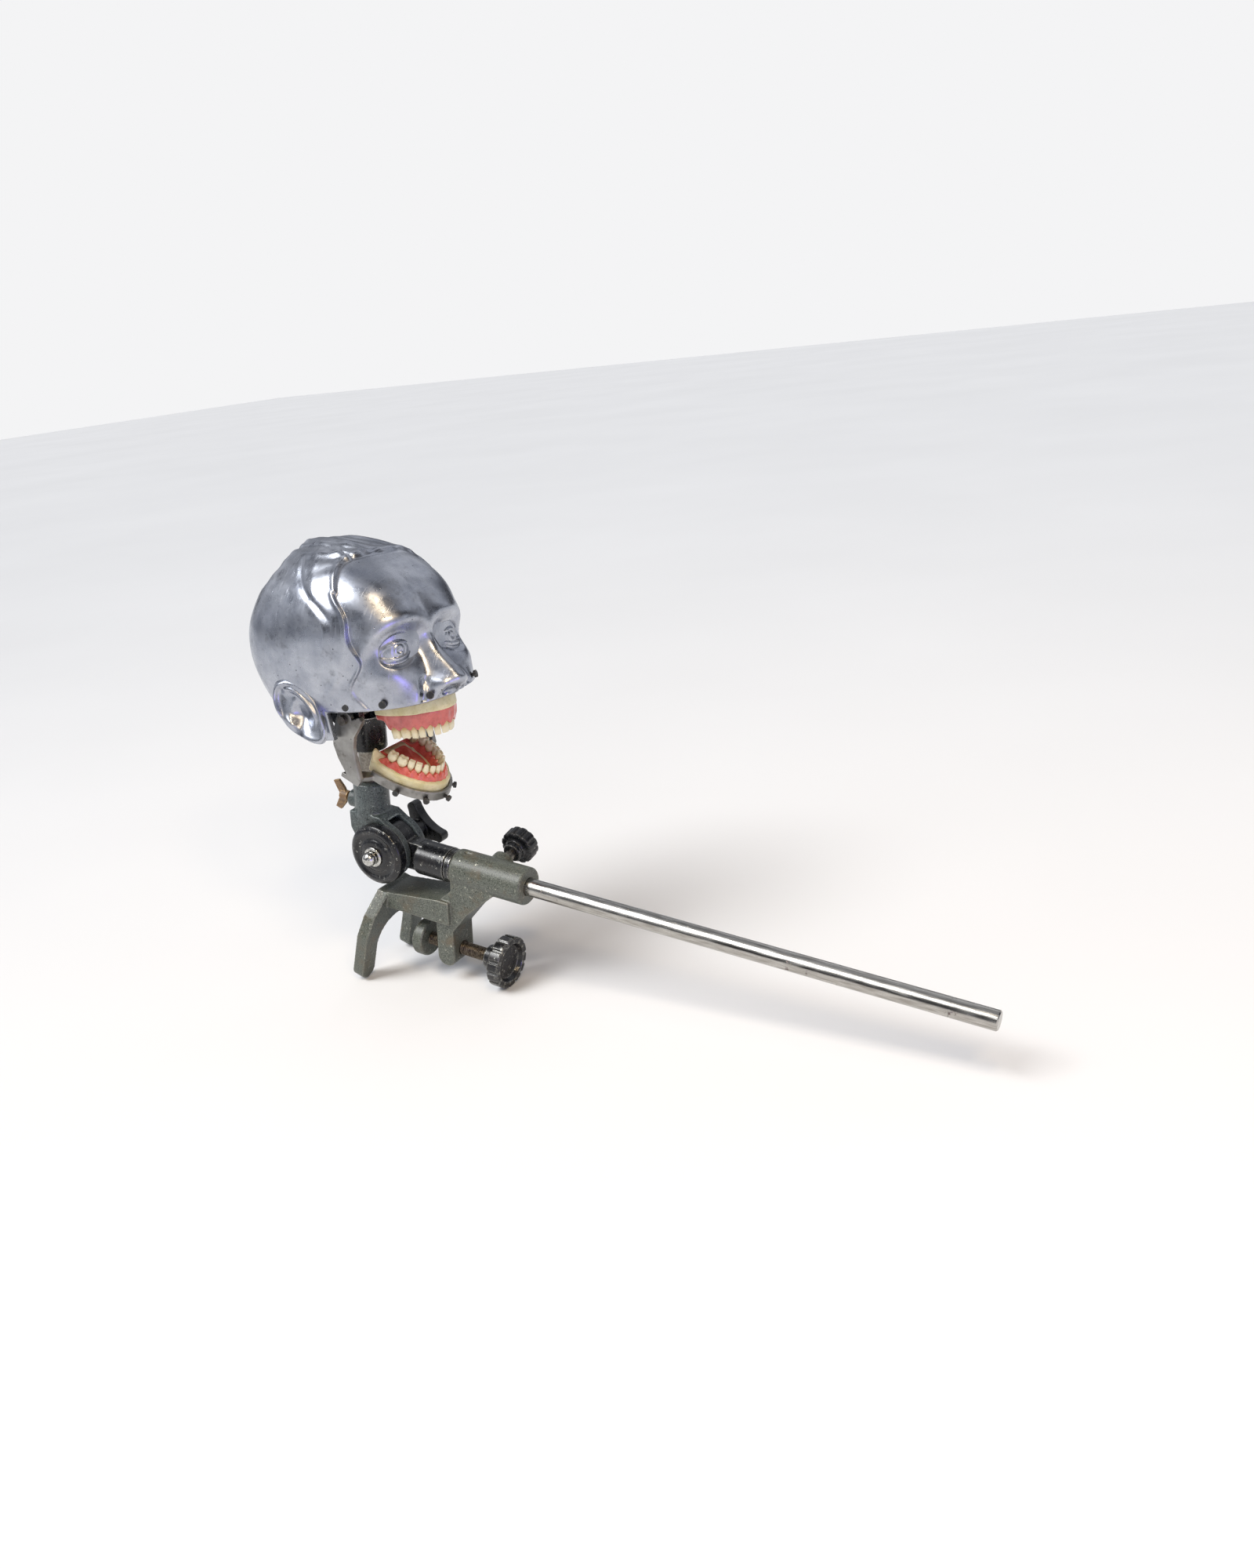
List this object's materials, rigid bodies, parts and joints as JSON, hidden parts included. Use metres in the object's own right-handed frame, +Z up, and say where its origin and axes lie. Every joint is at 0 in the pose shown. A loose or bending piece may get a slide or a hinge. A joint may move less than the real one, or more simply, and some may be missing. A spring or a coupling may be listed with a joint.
{
  "type": "dental articulator head",
  "caption": "Bench-mounted dental practice head: a table clamp and sliding rod carry a tilting knuckle, a hollow cast head shell and hinged upper and lower practice jaws.",
  "frame": {"origin": "on the rod's axis, at the outer face of the clamp's barrel", "axes": "+X along the rod to its free end, the way the face looks; +Z up, square to the rod; +Y to the lock screw's side"},
  "size_m": [0.6742, 0.1676, 0.4086],
  "materials": {
    "clamp_paint": "grey-green hammered enamel worn to bare metal on the edges",
    "plated_steel": "nickel-plated steel with rust pits",
    "black_enamel": "black stove enamel, chipped",
    "hammertone": "blue-grey hammertone enamel",
    "steel": "machined steel, lightly rusted",
    "bright_steel": "polished steel",
    "bakelite": "black moulded phenolic",
    "brass": "tarnished brass",
    "cast_aluminium": "polished sand casting, scratched",
    "satin_aluminium": "satin casting",
    "plaster": "cream casting resin",
    "gum": "glossy coral-pink resin",
    "ivory": "ivory resin"
  },
  "bodies": {
    "clamp": {"clamp_body": "clamp_paint"},
    "rod": {"rod": "plated_steel", "collar": "black_enamel"},
    "arm": {"stub_arm": "black_enamel"},
    "neck": {"neck_socket": "hammertone", "disc_cover": "black_enamel", "knuckle_bolt": "bright_steel"},
    "tilt_washer": {"knuckle_washer": "steel"},
    "tilt_knob": {"tilt_knob": "bakelite"},
    "wing_screw": {"wing_screw": "brass"},
    "skull": {"head_stem": "steel", "skull_frame": "black_enamel", "crown_stud": "steel", "head_shell": "cast_aluminium", "mask_studs": "steel", "maxilla_plate": "satin_aluminium", "upper_base": "plaster", "upper_gum": "gum", "upper_teeth": "ivory", "upper_jaw_screws": "steel"},
    "condyle": {"condyle_axle": "steel"},
    "jaw": {"mandible_frame": "satin_aluminium", "lower_base": "plaster", "lower_gum": "gum", "lower_teeth": "ivory", "lower_jaw_screws": "steel", "rim_studs": "steel"},
    "clamp_pad": {"clamp_pad": "clamp_paint"},
    "clamp_screw": {"clamp_screw": "steel", "clamp_knob": "black_enamel", "knob_grub_screw": "steel"},
    "lock_plug": {"lock_plug": "brass"},
    "lock_screw": {"lock_screw": "steel", "lock_knob": "black_enamel"}
  },
  "joints": [
    {"name": "rod_slide", "type": "slide", "parent": "clamp", "child": "rod", "axis": [1, 0, 0], "range_m": [-0.28, 0]},
    {"name": "head_roll", "type": "hinge", "parent": "rod", "child": "arm", "pos_m": [-0.1, 0, 0], "axis": [1, 0, 0], "range_deg": [-15, 15]},
    {"name": "head_tilt", "type": "hinge", "parent": "arm", "child": "neck", "pos_m": [-0.15, 0, 0.0035], "axis": [0, 1, 0], "range_deg": [-60, 26]},
    {"name": "washer_travel", "type": "slide", "parent": "neck", "child": "tilt_washer", "axis": [0, 1, 0], "range_m": [0, 0.003]},
    {"name": "tilt_knob_turn", "type": "hinge", "parent": "tilt_washer", "child": "tilt_knob", "pos_m": [-0.15, 0.04, 0.0035], "axis": [0, 1, 0], "range_deg": [0, 720]},
    {"name": "wing_screw_turn", "type": "hinge", "parent": "neck", "child": "wing_screw", "pos_m": [-0.19, 0, 0.042], "axis": [-1, 0, 0], "range_deg": [0, 180]},
    {"name": "head_swivel", "type": "hinge", "parent": "neck", "child": "skull", "pos_m": [-0.1705, 0, 0.06], "axis": [0, 0, 1], "range_deg": [-80, 80]},
    {"name": "jaw_protrude", "type": "slide", "parent": "skull", "child": "condyle", "axis": [0.9903, 0, 0.1392], "range_m": [-0.008, 0]},
    {"name": "jaw_open", "type": "hinge", "parent": "condyle", "child": "jaw", "pos_m": [-0.146, 0, 0.145], "axis": [0, 1, 0], "range_deg": [-28, 6]},
    {"name": "pad_travel", "type": "slide", "parent": "clamp", "child": "clamp_pad", "axis": [1, 0, 0], "range_m": [-0.0201, 0.0161]},
    {"name": "clamp_screw_turn", "type": "hinge", "parent": "clamp_pad", "child": "clamp_screw", "pos_m": [-0.05, 0, -0.084], "axis": [1, 0, 0], "range_deg": [-3600, 2880]},
    {"name": "plug_travel", "type": "slide", "parent": "clamp", "child": "lock_plug", "axis": [0, 0.9781, 0.2079], "range_m": [0, 0.003]},
    {"name": "lock_screw_turn", "type": "hinge", "parent": "lock_plug", "child": "lock_screw", "pos_m": [-0.041, 0, 0], "axis": [0, 0.9781, 0.2079], "range_deg": [0, 720]}
  ],
  "couplings": [
    {"joint": "washer_travel", "follows": "tilt_knob_turn", "m_per_rad": 0.00023873},
    {"joint": "pad_travel", "follows": "clamp_screw_turn", "m_per_rad": 0.00031831},
    {"joint": "plug_travel", "follows": "lock_screw_turn", "m_per_rad": 0.00023873}
  ]
}
